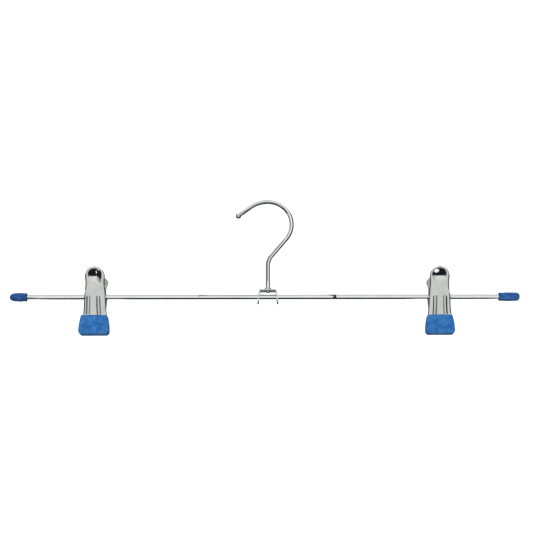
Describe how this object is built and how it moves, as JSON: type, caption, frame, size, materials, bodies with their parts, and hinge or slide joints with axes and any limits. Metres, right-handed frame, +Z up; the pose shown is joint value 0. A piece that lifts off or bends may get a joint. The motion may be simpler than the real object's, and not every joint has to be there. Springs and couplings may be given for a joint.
{
  "type": "trouser hanger",
  "caption": "Wire trouser hanger: a swivel hook over a straight bar with soft end caps and sprung clips that slide along it.",
  "frame": {"origin": "inside the top of the hook, where a rail carries the hanger", "axes": "+X along the bar to the right, seen from the front; +Z up; -Y towards the viewer"},
  "size_m": [0.4108, 0.03, 0.1145],
  "materials": {
    "plated_wire": "bright chrome plate on drawn wire and strip",
    "pressed_steel": "bright nickel plate on pressed steel sheet",
    "spring_wire": "plated spring wire",
    "vinyl": "dipped soft vinyl, satin blue"
  },
  "bodies": {
    "hook": {"hook": "plated_wire"},
    "frame": {"bar": "plated_wire", "bracket": "plated_wire", "left_end_cap": "vinyl", "right_end_cap": "vinyl"},
    "left_clip_seat": {"left_clip_spring": "spring_wire"},
    "left_clip_front": {"left_front_leaf": "pressed_steel", "left_front_jaw_tip": "vinyl"},
    "left_clip_rear": {"left_rear_leaf": "pressed_steel", "left_rear_jaw_tip": "vinyl"},
    "right_clip_seat": {"right_clip_spring": "spring_wire"},
    "right_clip_front": {"right_front_leaf": "pressed_steel", "right_front_jaw_tip": "vinyl"},
    "right_clip_rear": {"right_rear_leaf": "pressed_steel", "right_rear_jaw_tip": "vinyl"}
  },
  "joints": [
    {"name": "hook_swivel", "type": "hinge", "parent": "hook", "child": "frame", "pos_m": [0, 0, -0.074], "axis": [0, 0, 1], "continuous": true},
    {"name": "left_clip_slide", "type": "slide", "parent": "frame", "child": "left_clip_seat", "axis": [1, 0, 0], "range_m": [-0.0465, 0.119]},
    {"name": "left_clip_turn", "type": "hinge", "parent": "left_clip_seat", "child": "left_clip_front", "pos_m": [-0.1384, 0, -0.0798], "axis": [1, 0, 0], "continuous": true, "deforming": ["left_clip_spring"]},
    {"name": "left_clip_open", "type": "hinge", "parent": "left_clip_front", "child": "left_clip_rear", "pos_m": [-0.1384, 0, -0.0798], "axis": [1, 0, 0], "range_deg": [0, 36], "stiffness_Nm_per_rad": 0.1, "springref_deg": -45.84, "deforming": ["left_clip_spring"]},
    {"name": "right_clip_slide", "type": "slide", "parent": "frame", "child": "right_clip_seat", "axis": [1, 0, 0], "range_m": [-0.118, 0.039]},
    {"name": "right_clip_turn", "type": "hinge", "parent": "right_clip_seat", "child": "right_clip_front", "pos_m": [0.1374, 0, -0.0798], "axis": [1, 0, 0], "continuous": true, "deforming": ["right_clip_spring"]},
    {"name": "right_clip_open", "type": "hinge", "parent": "right_clip_front", "child": "right_clip_rear", "pos_m": [0.1374, 0, -0.0798], "axis": [1, 0, 0], "range_deg": [0, 36], "stiffness_Nm_per_rad": 0.1, "springref_deg": -45.84, "deforming": ["right_clip_spring"]}
  ]
}
